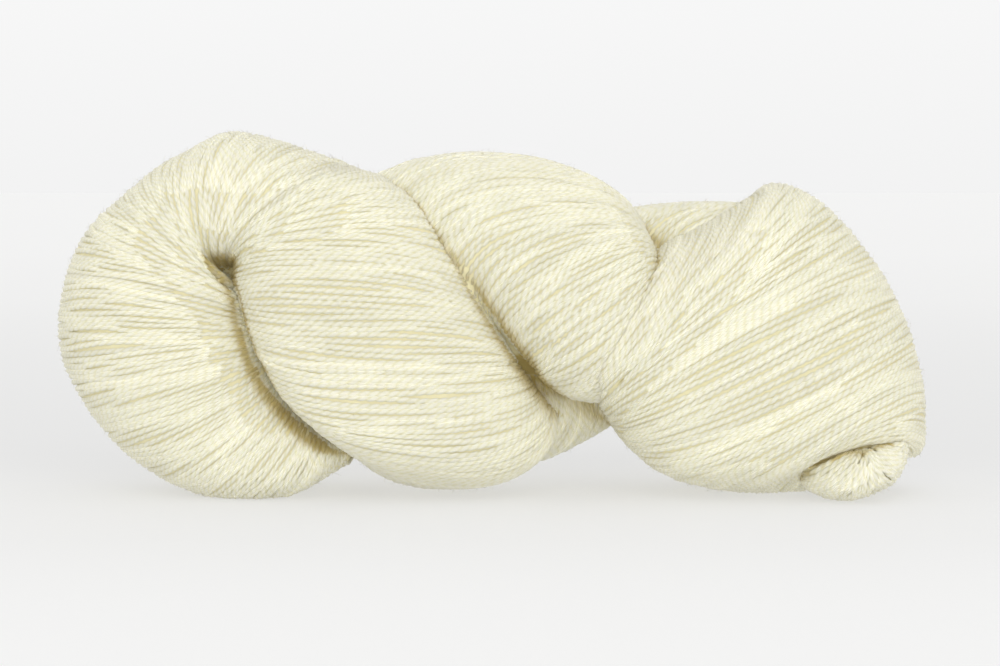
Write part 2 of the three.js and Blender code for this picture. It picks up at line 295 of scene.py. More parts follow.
def unit(vectors):
    """Vectors of length one."""
    return vectors / np.maximum(np.linalg.norm(vectors, axis=-1, keepdims=True), NEARLY_ZERO)


def perpendicular(vectors, directions):
    """The part of each vector that is square to a unit direction."""
    return vectors - (vectors * directions).sum(-1, keepdims=True) * directions


def round_difference(points):
    """The step from the point before to the point after, round closed loops."""
    return np.roll(points, -1, axis=-2) - np.roll(points, 1, axis=-2)


CREASE_REACH = 22
CREASE_START = 2.5

cad_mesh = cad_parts["hank"].data
solid = BVHTree.FromPolygons(
    [vertex.co for vertex in cad_mesh.vertices], [tuple(face.vertices) for face in cad_mesh.polygons]
)


def depth_in_solid(points):
    """How deep points in millimetres lie inside the construction's solid. Outside it is negative."""
    depths = np.empty(len(points))
    for index, point in enumerate(points * MM):
        place, normal, _, distance = solid.find_nearest(point)
        steps = (place.x - point[0], place.y - point[1], place.z - point[2])
        inside = sum(step * part for step, part in zip(steps, normal))
        depths[index] = math.copysign(distance, inside) / MM
    return depths


def crease_at(points, normals, along):
    """How closely other lobes stand round points: 0 in the open, 1 in a narrow crease."""
    creases = np.zeros(len(points))
    across = np.cross(normals, along)
    leans = (normals, normals + along, normals - along, normals + across, normals - across)
    for directions in leans:
        for index, (point, direction) in enumerate(zip(points + CREASE_START * normals, unit(directions))):
            distance = solid.ray_cast(point * MM, direction, CREASE_REACH * MM)[3]
            if distance is not None:
                creases[index] += (1 - distance / CREASE_REACH / MM) / len(leans)
    return creases


# %% [markdown]
# ## Where each turn of yarn lies
#
# A yarn is 1.5 mm thick and its neighbours lie right beside it, so the number of turns on a lobe follows from
# the lobe's widest place. Elsewhere the loops come closer together, at the creases far too close for yarns of
# their full thickness. In the real hank, some turns dive under their neighbours there. Every second turn
# therefore sinks where the room gets short, then every fourth, and so on.

# %% The grid that the turns follow
YARN_PITCH = 1.46
YARN_RADIUS = 0.86
COARSE_LOOPS = 121
DEPTH_SKIP = 6
HIDDEN_DEPTH = 2.1
OUTWARD_PULL = 0.15
SMOOTHING_ROUNDS = 4
NEIGHBOUR_SHARE = 0.5
GRID_MARGIN = 1.001


def widest_steps(loops):
    """The widest room that shows between each loop and the next."""
    along = unit(round_difference(loops))[:-1]
    room = np.linalg.norm(perpendicular(np.diff(loops, axis=0), along), axis=2)[:, ::DEPTH_SKIP]
    middles = ((loops[1:] + loops[:-1]) / 2)[:, ::DEPTH_SKIP]
    shows = depth_in_solid(middles.reshape(-1, 3)).reshape(middles.shape[:2]) < HIDDEN_DEPTH - YARN_RADIUS
    return np.where(shows, room, 0).max(axis=1)


def yarn_grid(lobe):
    """Loops at each half of a yarn's pitch: odd ones are where yarns lie, even ones are between them."""
    coarse_places = np.linspace(lobe.first_row, lobe.last_row, COARSE_LOOPS)
    steps = widest_steps(lobe_loops(lobe, coarse_places))
    numbers = np.concatenate([[0], np.cumsum(steps)]) / YARN_PITCH
    even_numbers = np.linspace(0, numbers[-1], 2 * int(numbers[-1]) + 1)
    return lobe_loops(lobe, np.interp(even_numbers, numbers, coarse_places))


def outward_normals(loops):
    """Normals of the lobe at its loops' points, turned away from each loop's middle."""
    along = unit(round_difference(loops))
    from_middle = unit(perpendicular(loops - loops.mean(axis=1, keepdims=True), along))
    normals = np.cross(perpendicular(np.gradient(loops, axis=0), along), along)
    normals *= np.sign((normals * from_middle).sum(-1, keepdims=True))
    normals += OUTWARD_PULL * from_middle
    for _ in range(SMOOTHING_ROUNDS):
        beside = np.roll(normals, 1, axis=1) + np.roll(normals, -1, axis=1)
        normals = unit(normals + NEIGHBOUR_SHARE * beside)
    return normals


def line_on_grid(grid, normals, place):
    """A line that keeps to a place on the grid at each point, with its normals and the room it has."""
    points = np.arange(LINE_POINTS)
    place = np.clip(place, 0, len(grid) - GRID_MARGIN)
    low = place.astype(int)
    part = (place - low)[:, None]
    line = grid[low, points] * (1 - part) + grid[low + 1, points] * part
    normal = unit(normals[low, points] * (1 - part) + normals[low + 1, points] * part)
    beside = np.clip(low, 1, len(grid) - 2)
    across = grid[beside + 1, points] - grid[beside - 1, points]
    room = np.linalg.norm(perpendicular(across, unit(round_difference(line))), axis=1) / YARN_PITCH
    return line, normal, room


# %% [markdown]
# ## How a turn wanders
#
# No turn keeps its distance. It swings from side to side with its neighbours, strays a little from them, and
# rises and sinks by about a tenth of a millimetre. All of that is a sum of a few waves with random strengths
# and phases, from one seeded source, so that the hank comes out the same every time. A few more turns lie
# loosely on top and cross the others at a small angle.

# %% Wandering and sinking
random = np.random.default_rng(5)
CROWD_LIMIT = 0.6
SINK_DEPTH = 1.15
SINK_EASE = 0.35
LEAST_SIZE = 0.64
LEAST_ROOM = 0.02
MOST_LEVELS = 4
# Columns: swing in half pitches, turns in a wave, waves round the loop.
DRIFTS = [
    [0.6, 23, 2],
    [0.4, 9, -3],
]


def waves(lengths, strength):
    """A smooth random line round a loop: a sum of a wave of each length, with random phases."""
    phases = random.uniform(0, FULL_TURN, len(lengths))
    swings = random.normal(0, strength / math.sqrt(len(lengths)), len(lengths))
    turns = [SHARE_ROUND / length for length in lengths]
    return sum(swing * np.sin(FULL_TURN * turn + phase) for swing, turn, phase in zip(swings, turns, phases))


def shared_drift(number, phases):
    """The sideways swing that a turn shares with its neighbours, in half pitches."""
    return sum(
        swing * np.sin(FULL_TURN * (number / turns_in_wave + waves_round * SHARE_ROUND) + phase)
        for (swing, turns_in_wave, waves_round), phase in zip(DRIFTS, phases)
    )


def sink_level(number):
    """How late a turn sinks where the room gets short: 0 for odd ones, 1 for every second of the rest."""
    level = 0
    while number % 2 == 0 and level < MOST_LEVELS:
        number //= 2
        level += 1
    return level


def sunk_and_size(number, room):
    """How far each point of a turn is sunk, from 0 to 1, and the thickness that it keeps."""
    crowding = np.maximum(-np.log2(np.clip(room, LEAST_ROOM, 2) / CROWD_LIMIT), 0)
    sunk = np.clip((crowding - sink_level(number)) / SINK_EASE, 0, 1)
    whole = np.floor(crowding)
    turns_gone = whole + np.clip((crowding - whole) / SINK_EASE, 0, 1)
    return sunk * sunk * (3 - 2 * sunk), np.clip(room * 2**turns_gone, LEAST_SIZE, 1.0)


# %% [markdown]
# ## The two-ply yarn
#
# Two plies twist round each other, so a piece of yarn looks like a row of slanting beads. Only the side that
# faces out shows, so each yarn is half a tube and a bit. Its rows of points don't run straight across: they
# slant as the plies do, and in turn they are a groove, a shoulder, a ridge and a shoulder. That way four rows
# for each bead are enough, and a hundred thousand of them still make a light mesh. It comes from arrays,
# because no operator lays hundreds of turns.

# %% Two-ply relief
PLY_TURN = 4.72
ROWS_IN_BEAD = 4
ROW_STEP = PLY_TURN / 2 / ROWS_IN_BEAD
ROW_RADII = np.array([0.76, 0.93, 1.0, 0.93])
SIDE_ANGLES = np.radians([-104, -52, 0, 52, 104])
SIDES = len(SIDE_ANGLES)
CREST = SIDES // 2


def yarn_rows(line, normals, sizes, tones):
    """Points, relief coordinates and shades of a yarn's rows, from its closed centre line."""
    steps = np.linalg.norm(np.roll(line, -1, axis=0) - line, axis=1)
    distance = np.concatenate([[0], np.cumsum(steps)])
    row = np.arange(1, int(distance[-1] / ROW_STEP) - 1)
    places = (row * ROW_STEP)[:, None] - SIDE_ANGLES / FULL_TURN * PLY_TURN

    def at(values):
        closed = np.concatenate([values, values[:1]])
        return np.stack([np.interp(places, distance, column) for column in closed.T], axis=-1)

    centre, normal = at(line), at(normals)
    side = at(np.cross(unit(round_difference(line)), normals))
    radius = YARN_RADIUS * ROW_RADII[row % ROWS_IN_BEAD][:, None, None] * at(sizes[:, None])
    points = centre + radius * (np.cos(SIDE_ANGLES)[:, None] * normal + np.sin(SIDE_ANGLES)[:, None] * side)
    beads = np.repeat(row[:, None] / ROWS_IN_BEAD, SIDES, axis=1)
    relief = np.stack([places, beads], axis=-1)
    edge = np.broadcast_to(np.abs(SIDE_ANGLES / SIDE_ANGLES[-1]), places.shape)
    return points, normal[:, CREST], relief, np.concatenate([at(tones), edge[..., None]], axis=-1)


def add_shade(mesh, shade):
    """Keeps four shades of a mesh's points: how far sunk, tone, crease, and how near a yarn's edge."""
    colour = mesh.attributes.new("shade", "FLOAT_COLOR", "POINT")
    colour.data.foreach_set("color", shade.astype(np.float32).ravel())


def mesh_piece(name, points, faces, shade, relief=None):
    """A new object from points in millimetres and faces that all have the same number of corners."""
    used, faces = np.unique(faces, return_inverse=True)
    corners = faces.reshape(-1).astype(np.int32)
    sides = 4 if relief is not None else 3
    mesh = bpy.data.meshes.new(name)
    mesh.vertices.add(len(used))
    mesh.vertices.foreach_set("co", (points[used] * MM).astype(np.float32).ravel())
    mesh.loops.add(len(corners))
    mesh.loops.foreach_set("vertex_index", corners)
    mesh.polygons.add(len(corners) // sides)
    mesh.polygons.foreach_set("loop_start", np.arange(0, len(corners), sides, dtype=np.int32))
    mesh.update(calc_edges=True)
    mesh.shade_smooth()
    if relief is not None:
        uv = mesh.uv_layers.new(name="relief")
        uv.data.foreach_set("uv", relief[used][corners].astype(np.float32).ravel())
    add_shade(mesh, shade[used])
    piece = bpy.data.objects.new(name, mesh)
    bpy.context.scene.collection.objects.link(piece)
    print(f"{name}: {(sides - 2) * len(mesh.polygons)} triangles")
    return piece


class YarnPile:
    """Collects the rows of many yarns and turns them into one joined mesh."""

    def __init__(self):
        self.points, self.normals, self.relief, self.shade, self.faces = [], [], [], [], []
        self.count = 0

    def add(self, points, normals, relief, shade, shows):
        """Adds a yarn's rows. Only those that show get faces."""
        rows = len(points)
        index = self.count + np.arange(rows * SIDES).reshape(rows, SIDES)
        quads = np.stack([index[:-1, :-1], index[:-1, 1:], index[1:, 1:], index[1:, :-1]], axis=-1)
        self.faces.append(quads[shows[1:] & shows[:-1]].reshape(-1, 4))
        self.points.append(points.reshape(-1, 3))
        self.normals.append(np.repeat(normals, SIDES, axis=0))
        self.relief.append(relief.reshape(-1, 2))
        self.shade.append(shade.reshape(-1, 4))
        self.count += rows * SIDES

    def build(self, name):
        """The joined mesh as an object."""
        parts = (self.points, self.faces, self.shade, self.relief)
        return mesh_piece(name, *(np.concatenate(part) for part in parts))

    def crests(self):
        """Points on top of the yarns that show, with their normals and shades."""
        crest = np.concatenate(self.faces)[:, 0]
        crest = crest[crest % SIDES == CREST]
        return [np.concatenate(values)[crest] for values in (self.points, self.normals, self.shade)]


# %% Laying a lobe
FLOOR_CLEARANCE = 0.5
FLOOR_GAP = 0.05
DEPTH_STEP = 3
PLACE_WAVES, PLACE_SWING = [0.5, 0.25, 1 / 6], 0.3
THICKNESS_WAVES, THICKNESS_SWING = [0.2, 0.1, 0.06], 0.03
SHORT_WAVES, SIDE_SWING, RISE = [0.31, 0.17, 0.09], 0.1, 0.09
STRAY_SHARE = 0.03
STRAY_LIFT = 0.25
STRAY_WAVES, STRAY_SWINGS = [1, 0.5], (2, 5)
TONE_MIDDLE, TONE_SPREAD = 0.5, 0.16
PATTERN_SHIFTS = 900


def depth_and_crease(line, normals):
    """How deep in the solid a turn's points lie, and how closely other lobes stand round them."""
    some = slice(None, None, DEPTH_STEP)
    depths = depth_in_solid(line[some])
    creases = np.ones(len(depths))
    near = depths < HIDDEN_DEPTH
    along = unit(round_difference(line))[some]
    creases[near] = crease_at(line[some][near], normals[some][near], along[near])
    points = np.arange(LINE_POINTS)
    return [np.interp(points, points[some], values, period=LINE_POINTS) for values in (depths, creases)]


def lay_turn(pile, grid, normals, place, number, lift):
    """Lays one turn at its place on the grid, adds the rows that show to the pile, and gives their length."""
    line, normal, room = line_on_grid(grid, normals, place)
    sunk, size = sunk_and_size(number, room)
    size = size * (1 + waves(THICKNESS_WAVES, THICKNESS_SWING))
    side = np.cross(unit(round_difference(line)), normal)
    lateral = waves(SHORT_WAVES, SIDE_SWING)
    lift = lift + waves(SHORT_WAVES, RISE)
    line = line + normal * (lift - YARN_RADIUS * size - SINK_DEPTH * sunk)[:, None] + side * lateral[:, None]
    line[:, 2] = np.maximum(line[:, 2], FLOOR_CLEARANCE)
    inside, crease = depth_and_crease(line, normal)
    tone = np.full(LINE_POINTS, random.normal(TONE_MIDDLE, TONE_SPREAD))
    # Sunk points and creases are painted darker later, in the wool's colour: painted shade.
    tones = np.stack([sunk, tone, crease], axis=1)
    rows, row_normals, relief, shade = yarn_rows(line, normal, size, tones)
    rows[..., 2] = np.maximum(rows[..., 2], FLOOR_GAP)
    relief[..., 0] += random.uniform(0, PATTERN_SHIFTS)
    distance = np.cumsum(np.linalg.norm(np.roll(line, -1, axis=0) - line, axis=1))
    row_distance = (np.arange(len(rows)) + 1) * ROW_STEP
    shows = np.interp(row_distance, distance, inside) < HIDDEN_DEPTH
    pile.add(rows, row_normals, relief, shade, shows)
    return shows.sum() * ROW_STEP * MM


def lay_lobe(lobe):
    """Lays all turns of a lobe, shared out to the piles of its pieces."""
    grid = yarn_grid(lobe)
    normals = outward_normals(grid)
    turns = (len(grid) - 1) // 2
    piles = [YarnPile() for _ in lobe.pieces]
    phases = random.uniform(0, FULL_TURN, 2)
    metres = 0
    for number in range(turns):
        pile = piles[number * len(piles) // turns]
        place = 2 * (number + 0.5) + shared_drift(number, phases) + waves(PLACE_WAVES, PLACE_SWING)
        metres += lay_turn(pile, grid, normals, place, number, 0)
    for _ in range(int(turns * STRAY_SHARE)):
        number = random.integers(turns)
        pile = piles[number * len(piles) // turns]
        place = 2 * number + waves(STRAY_WAVES, random.uniform(*STRAY_SWINGS))
        metres += lay_turn(pile, grid, normals, place, 1, STRAY_LIFT)
    print(f"{lobe.pieces[0]}: {turns} turns laid, {metres:.1f} m of yarn shows")
    return piles


piles = {name: pile for lobe in lobes for name, pile in zip(lobe.pieces, lay_lobe(lobe))}
pieces = [pile.build(name) for name, pile in piles.items()]

# %% [markdown]
# ## The wool underneath
#
# Between two turns, the eye meets the next layer of wool. A copy of the construction's solid, shrunk by
# about half a millimetre, is that layer. It is made from the same mesh, so it fits in every crease.

# %% Wool underneath
UNDER_DEPTH = 0.45 * MM
MERGE_DISTANCE = 0.01 * MM
ANY_SLANT = [0.3, 0.2, 0.9]

bpy.ops.object.select_all(action="DESELECT")
under = bpy.data.objects.new("wool_under", cad_mesh.copy())
bpy.context.scene.collection.objects.link(under)
bpy.context.view_layer.objects.active = under
under.select_set(True)
bpy.ops.object.mode_set(mode="EDIT")
bpy.ops.mesh.select_all(action="SELECT")
bpy.ops.mesh.remove_doubles(threshold=MERGE_DISTANCE)
bpy.ops.object.mode_set(mode="OBJECT")
under.data.materials.clear()
shrink = under.modifiers.new("shrink", "DISPLACE")
shrink.strength = -UNDER_DEPTH
shrink.mid_level = 0
bpy.ops.object.modifier_apply(modifier=shrink.name)
under.data.shade_smooth()
under.select_set(False)
points, normals = (
    np.array([getattr(vertex, name) for vertex in under.data.vertices]) for name in ("co", "normal")
)
tangents = unit(np.cross(normals, ANY_SLANT))
# The crease measure paints shade into the layer underneath too.
crease = crease_at(points / MM + UNDER_DEPTH / MM * normals, normals, tangents)
middling = np.full(len(crease), TONE_MIDDLE)
add_shade(under.data, np.stack([middling, middling, crease, middling], axis=1))
print(f"wool_under: {len(under.data.polygons)} triangles")

# %% [markdown]
# ## The fuzz
#
# Wool is spun from short fibres, and some of their ends stand out from the yarn. From a step away they only
# soften the outline and the lines between the turns. Each is a thin bent needle with three sides, one to
# three millimetres long. They start on top of the yarns and lean all ways, and none reaches into the floor.

# %% Fuzz
FUZZ_COUNT = 7000
FUZZ_LENGTHS = (0.7, 2.6)
FUZZ_RADIUS = 0.035
FUZZ_ROOT_DEPTH = 0.3
FUZZ_RISES = (0.15, 0.9)
FUZZ_TAPER = 0.7
TIP_LEAN = 0.8
TIP_BEND = 0.6
POINTS_IN_NEEDLE = 7
NEEDLE_TURNS = FULL_TURN * np.arange(3) / 3
NEEDLE_FACES = [[0, 2, 1], [0, 1, 3], [1, 4, 3], [1, 2, 4], [2, 5, 4], [2, 0, 5], [0, 3, 5],
                [3, 4, 6], [4, 5, 6], [5, 3, 6]]


def fuzz_needles(roots, normals, shades):
    """Points, faces and shades of bent needles: three points round each joint and one at the tip."""
    count = len(roots)
    loose = unit(random.normal(0, 1, (count, 3)))
    lean = unit(perpendicular(loose, normals))
    shortest, longest = FUZZ_LENGTHS
    length = shortest + (longest - shortest) * random.uniform(0, 1, (count, 1)) ** 2
    rise = random.uniform(*FUZZ_RISES, (count, 1))
    start = roots - FUZZ_ROOT_DEPTH * normals
    middle = roots + length * 0.5 * unit(rise * normals + lean)
    tip = middle + length * 0.5 * unit(rise * normals + TIP_LEAN * lean + TIP_BEND * loose)
    side = unit(np.cross(middle - start, normals))
    other = unit(np.cross(middle - start, side))
    spread = np.cos(NEEDLE_TURNS)[:, None, None] * side + np.sin(NEEDLE_TURNS)[:, None, None] * other
    rings = [start + FUZZ_RADIUS * spread, middle + FUZZ_TAPER * FUZZ_RADIUS * spread, tip[None]]
    points = np.concatenate(rings).transpose(1, 0, 2)
    above_floor = points[:, :, 2].min(axis=1) > 0
    points, shades = points[above_floor], shades[above_floor]
    faces = np.array(NEEDLE_FACES) + POINTS_IN_NEEDLE * np.arange(len(points))[:, None, None]
    return points.reshape(-1, 3), faces.reshape(-1, 3), np.repeat(shades, POINTS_IN_NEEDLE, axis=0)


crests = zip(*(pile.crests() for pile in piles.values()))
roots, root_normals, root_shades = (np.concatenate(parts) for parts in crests)
chosen = random.choice(len(roots), FUZZ_COUNT, replace=False)
# Each needle keeps its root's shades, so the painted crease shade reaches the fuzz too.
fuzz = mesh_piece("wool_fuzz", *fuzz_needles(roots[chosen], root_normals[chosen], root_shades[chosen]))
triangles = sum(len(face.vertices) - 2 for piece in [*pieces, under, fuzz] for face in piece.data.polygons)
print(f"triangles in all: {triangles}")

# %% [markdown]
# ## The look of the wool
#
# Undyed wool is a warm cream. Light that falls between the fibres comes back a little yellower from each, so
# the grooves and the gaps look straw-coloured in their shade, and that shade is painted into the colour. One
# node group mixes the two colours by a depth from 0 to 1, a painted shade, and adds what all this wool
# shares:
# a browner painted shade in creases, soft patches and fine fibres. It serves the yarns, the layer underneath
# and the fuzz. A second group works the depth of a yarn out of the relief coordinates and the shades that
# were laid with it.


# %% Helpers for nodes
def node(tree, kind, *inputs, **settings):
    """A new node. Each input is a socket to link, a value to set, or None to leave it as it is."""
    new = tree.nodes.new(kind)
    for name, value in settings.items():
        setattr(new, name, value)
    for socket, value in zip(new.inputs, inputs):
        if isinstance(value, bpy.types.NodeSocket):
            tree.links.new(value, socket)
        elif value is not None:
            socket.default_value = value
    return new


def maths(tree, operation, first, second=None, third=None, clamp=False):
    """The result of a Math node."""
    return node(tree, "ShaderNodeMath", first, second, third, operation=operation, use_clamp=clamp).outputs[0]


def between(tree, factor, first, second, blend="MIX"):
    """The result of a Mix node for colours, which has its two colours at inputs 6 and 7."""
    unused = [None] * 5
    mix = node(tree, "ShaderNodeMix", factor, *unused, first, second, data_type="RGBA", blend_type=blend)
    return mix.outputs[2]


def noise(tree, vector, scale, detail):
    """A noise value round 0.5."""
    new = node(tree, "ShaderNodeTexNoise", vector)
    new.inputs["Scale"].default_value = scale
    new.inputs["Detail"].default_value = detail
    return new.outputs["Fac"]


def new_group(name, inputs, outputs):
    """A shader node group with named sockets, and its input and output nodes."""
    tree = bpy.data.node_groups.new(name, "ShaderNodeTree")
    for direction, sockets in (("INPUT", inputs), ("OUTPUT", outputs)):
        for socket, kind in sockets.items():
            tree.interface.new_socket(socket, in_out=direction, socket_type=f"NodeSocket{kind}")
    return tree, tree.nodes.new("NodeGroupInput"), tree.nodes.new("NodeGroupOutput")


# %% Group: wool colour and fibres
CREASE_SHOWS_FROM = 0.15
CREASE_FULL_AT = 0.75
BROAD_PATCHES, SMALL_PATCHES = 28, 160
PATCH_STRENGTH = 0.1
TONE_STRENGTH = 0.12
MOTTLE_STRENGTH = 0.5


def wool_group():
    """Cream to straw by depth and browner in creases, both painted shade, with patches. Fibres run along the
    first coordinate.
    """
    tree, inner, outer = new_group(
        "wool_fibres",
        {"Light": "Color", "Deep": "Color", "Crease Painted Shade": "Color", "Depth": "Float", "Tone": "Float",
         "Crease": "Float", "Fibres": "Vector"},
        {"Color": "Color", "Height": "Float"},
    )
    place = node(tree, "ShaderNodeTexCoord").outputs["Object"]
    patches = maths(tree, "ADD", noise(tree, place, BROAD_PATCHES, 2), noise(tree, place, SMALL_PATCHES, 2))
    fibres = noise(tree, inner.outputs["Fibres"], 1, 3)
    mottle = maths(tree, "SUBTRACT", fibres, 0.5)
    mottled = maths(tree, "MULTIPLY_ADD", mottle, MOTTLE_STRENGTH, inner.outputs["Depth"], clamp=True)
    colour = between(tree, mottled, inner.outputs["Light"], inner.outputs["Deep"])
    in_crease = node(tree, "ShaderNodeMapRange", inner.outputs["Crease"], CREASE_SHOWS_FROM, CREASE_FULL_AT,
                     interpolation_type="SMOOTHSTEP").outputs[0]
    # Painted shade: in creases the colour is multiplied towards a browner one.
    browner = between(tree, 1, colour, inner.outputs["Crease Painted Shade"], "MULTIPLY")
    colour = between(tree, in_crease, colour, browner)
    brightness = maths(tree, "MULTIPLY_ADD", maths(tree, "SUBTRACT", patches, 1), PATCH_STRENGTH, 1)
    off_middle = maths(tree, "SUBTRACT", inner.outputs["Tone"], TONE_MIDDLE)
    brightness = maths(tree, "MULTIPLY_ADD", off_middle, TONE_STRENGTH, brightness)
    scaled = node(tree, "ShaderNodeVectorMath", colour, operation="SCALE")
    tree.links.new(brightness, scaled.inputs["Scale"])
    tree.links.new(scaled.outputs[0], outer.inputs["Color"])
    tree.links.new(fibres, outer.inputs["Height"])
    return tree


# %% Group: depth of a two-ply yarn
GROOVE_SHARPNESS = 2.5
GROOVE_DEPTH = 0.7
GAP_DEPTH = 0.15
SUNK_DEPTH = 0.15
FIBRES_ALONG = 0.9
FIBRES_ACROSS = 6


def ply_group():
    """How deep a point of a yarn lies between its plies and its neighbours, and the way its fibres run."""
    tree, inner, outer = new_group(
        "ply_depth",
        {"Relief": "Vector", "Shade": "Color", "Edge": "Float"},
        {"Depth": "Float", "Tone": "Float", "Crease": "Float", "Fibres": "Vector"},
    )
    along, beads, _ = node(tree, "ShaderNodeSeparateXYZ", inner.outputs["Relief"]).outputs
    sunk, tone, crease = node(tree, "ShaderNodeSeparateColor", inner.outputs["Shade"]).outputs
    swing = maths(tree, "COSINE", maths(tree, "MULTIPLY", beads, FULL_TURN))
    groove = maths(tree, "POWER", maths(tree, "MULTIPLY_ADD", swing, 0.5, 0.5), GROOVE_SHARPNESS)
    gap = maths(tree, "POWER", inner.outputs["Edge"], 2)
    # The depth is painted shade: grooves between the plies, the yarn's edges and sunk turns get a darker
    # straw colour.
    depth = maths(tree, "MULTIPLY_ADD", groove, GROOVE_DEPTH, maths(tree, "MULTIPLY", gap, GAP_DEPTH))
    depth = maths(tree, "MULTIPLY_ADD", sunk, SUNK_DEPTH, depth)
    across_ply = maths(tree, "MULTIPLY", beads, FIBRES_ACROSS)
    from_start = maths(tree, "MULTIPLY_ADD", beads, -PLY_TURN / 2, along)
    along_ply = maths(tree, "MULTIPLY", from_start, FIBRES_ALONG)
    fibres = node(tree, "ShaderNodeCombineXYZ", along_ply, across_ply)
    results = {"Depth": depth, "Tone": tone, "Crease": crease, "Fibres": fibres.outputs[0]}
    for socket, value in results.items():
        tree.links.new(value, outer.inputs[socket])
    return tree


# %% [markdown]
# ## Three kinds of wool
#
# All three are matte, and light goes a millimetre deep into them. They glow a little too, in place of the
# light that real wool passes on from fibre to fibre, so no crease is black. The twisted yarn takes its depth
# from its plies. The layer underneath and the fuzz have one depth each, and their fibres run every way. The
# layer underneath is painted lighter and yellower than the yarn: painted light, for the light that the yarns
# pass down into the gaps.

# %% Materials
CREAM = (0.695, 0.675, 0.568, 1)
# Painted shade: the straw colour below darkens the yarn's grooves, gaps and sunk turns; it also ends a random
# mottle.
STRAW_SHADE_AND_MOTTLE = (0.62, 0.588, 0.375, 1)
# Painted light: the two colours of the layer underneath are lighter and yellower than the yarn's, for light
# that the yarns pass down into the gaps.
GAP_STRAW_PAINTED_LIGHT = (0.8, 0.75, 0.5, 1)
GAP_DEEP_STRAW_PAINTED_LIGHT = (0.72, 0.67, 0.4, 1)
# Painted shade: the browner colour that creases are multiplied towards.
CREASE_PAINTED_SHADE = (0.66, 0.56, 0.3, 1)
FIBRE_RELIEF = 0.1 * MM
SCATTER_SHARES = (0.85, 0.9, 1)
SCATTER_LENGTH = 1.0 * MM
WOOL_GLOW = 0.07
WOOL_ROUGHNESS = 0.92
WOOL_SPECULAR = 0.25
YARN_SHEEN, LOOSE_SHEEN, SHEEN_ROUGHNESS = 0.15, 0.1, 0.6
UNDER_COLOUR_DEPTH, FUZZ_COLOUR_DEPTH = 0.35, 0.1
LOOSE_FIBRES = 900
wool_fibres = wool_group()
ply_depth = ply_group()


def wool_material(name, light, deep, sheen):
    """A matte wool on the shared group. Its depth, crease and fibres are left to the caller."""
    material = bpy.data.materials.new(name)
    material.use_nodes = True
    tree = material.node_tree
    shader = tree.nodes["Principled BSDF"]
    shader.inputs["Roughness"].default_value = WOOL_ROUGHNESS
    shader.inputs["Specular IOR Level"].default_value = WOOL_SPECULAR
    shader.subsurface_method = "BURLEY"
    shader.inputs["Subsurface Weight"].default_value = 1
    shader.inputs["Subsurface Radius"].default_value = SCATTER_SHARES
    shader.inputs["Subsurface Scale"].default_value = SCATTER_LENGTH
    shader.inputs["Sheen Weight"].default_value = sheen
    shader.inputs["Sheen Roughness"].default_value = SHEEN_ROUGHNESS
    wool = node(tree, "ShaderNodeGroup", node_tree=wool_fibres)
    wool.inputs["Light"].default_value = light
    wool.inputs["Deep"].default_value = deep
    wool.inputs["Crease Painted Shade"].default_value = CREASE_PAINTED_SHADE
    wool.inputs["Tone"].default_value = TONE_MIDDLE
    bump = node(tree, "ShaderNodeBump")
    bump.inputs["Distance"].default_value = FIBRE_RELIEF
    shader.inputs["Emission Strength"].default_value = WOOL_GLOW
    tree.links.new(wool.outputs["Color"], shader.inputs["Base Color"])
    tree.links.new(wool.outputs["Color"], shader.inputs["Emission Color"])
    tree.links.new(wool.outputs["Height"], bump.inputs["Height"])
    tree.links.new(bump.outputs["Normal"], shader.inputs["Normal"])
    return material, wool


def yarn_material():
    """The twisted yarn: depth, tone, crease and fibres come from what was laid with it."""
    material, wool = wool_material("twisted_yarn", CREAM, STRAW_SHADE_AND_MOTTLE, YARN_SHEEN)
    tree = material.node_tree
    relief = node(tree, "ShaderNodeUVMap", uv_map="relief")
    shade = node(tree, "ShaderNodeAttribute", attribute_name="shade")
    ply = node(tree, "ShaderNodeGroup", relief.outputs["UV"], shade.outputs["Color"], shade.outputs["Alpha"],
               node_tree=ply_depth)
    for name in ("Depth", "Tone", "Crease", "Fibres"):
        tree.links.new(ply.outputs[name], wool.inputs[name])
    return material


def loose_wool_material(name, light, deep, depth):
    """Wool with no twist to follow: its fibres are a fine noise in the object's own coordinates."""
    material, wool = wool_material(name, light, deep, LOOSE_SHEEN)
    tree = material.node_tree
    place = node(tree, "ShaderNodeTexCoord").outputs["Object"]
    fibres = node(tree, "ShaderNodeMapping", place)
    fibres.inputs["Scale"].default_value = (LOOSE_FIBRES,) * 3
    tree.links.new(fibres.outputs[0], wool.inputs["Fibres"])
    shade = node(tree, "ShaderNodeAttribute", attribute_name="shade")
    crease = node(tree, "ShaderNodeSeparateColor", shade.outputs["Color"]).outputs["Blue"]
    tree.links.new(crease, wool.inputs["Crease"])
    wool.inputs["Depth"].default_value = depth
    return material


yarn_wool = yarn_material()
# The layer underneath gets the painted light colours.
under_wool = loose_wool_material("under_wool", GAP_STRAW_PAINTED_LIGHT, GAP_DEEP_STRAW_PAINTED_LIGHT, UNDER_COLOUR_DEPTH)
fuzz_wool = loose_wool_material("fuzz_wool", CREAM, STRAW_SHADE_AND_MOTTLE, FUZZ_COLOUR_DEPTH)
for piece in pieces:
    piece.data.materials.append(yarn_wool)
under.data.materials.append(under_wool)
fuzz.data.materials.append(fuzz_wool)
for piece in [*pieces, under, fuzz]:
    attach(piece, "root")
    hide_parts("hank")

# %% [markdown]
# ## The table and the light
#
# The hank lies on a white sweep, with a painted shade that makes it darker just behind the hank than in
# front.
# The floor is so large that its far edge can't be told from the sky, because both look the same there. The
# paper glows, as one lit from below, so the shadow under the hank stays faint. A broad sun stands in for a
# large softbox at the front and a pale sky for the white room, so the shadows are soft and the wool stays
# bright.

# %% Floor
FLOOR_SIZE = 80
FLOOR_GLOW = 0.62
FLOOR_ROUGHNESS = 0.8
FLOOR_WARMTH = 0.995
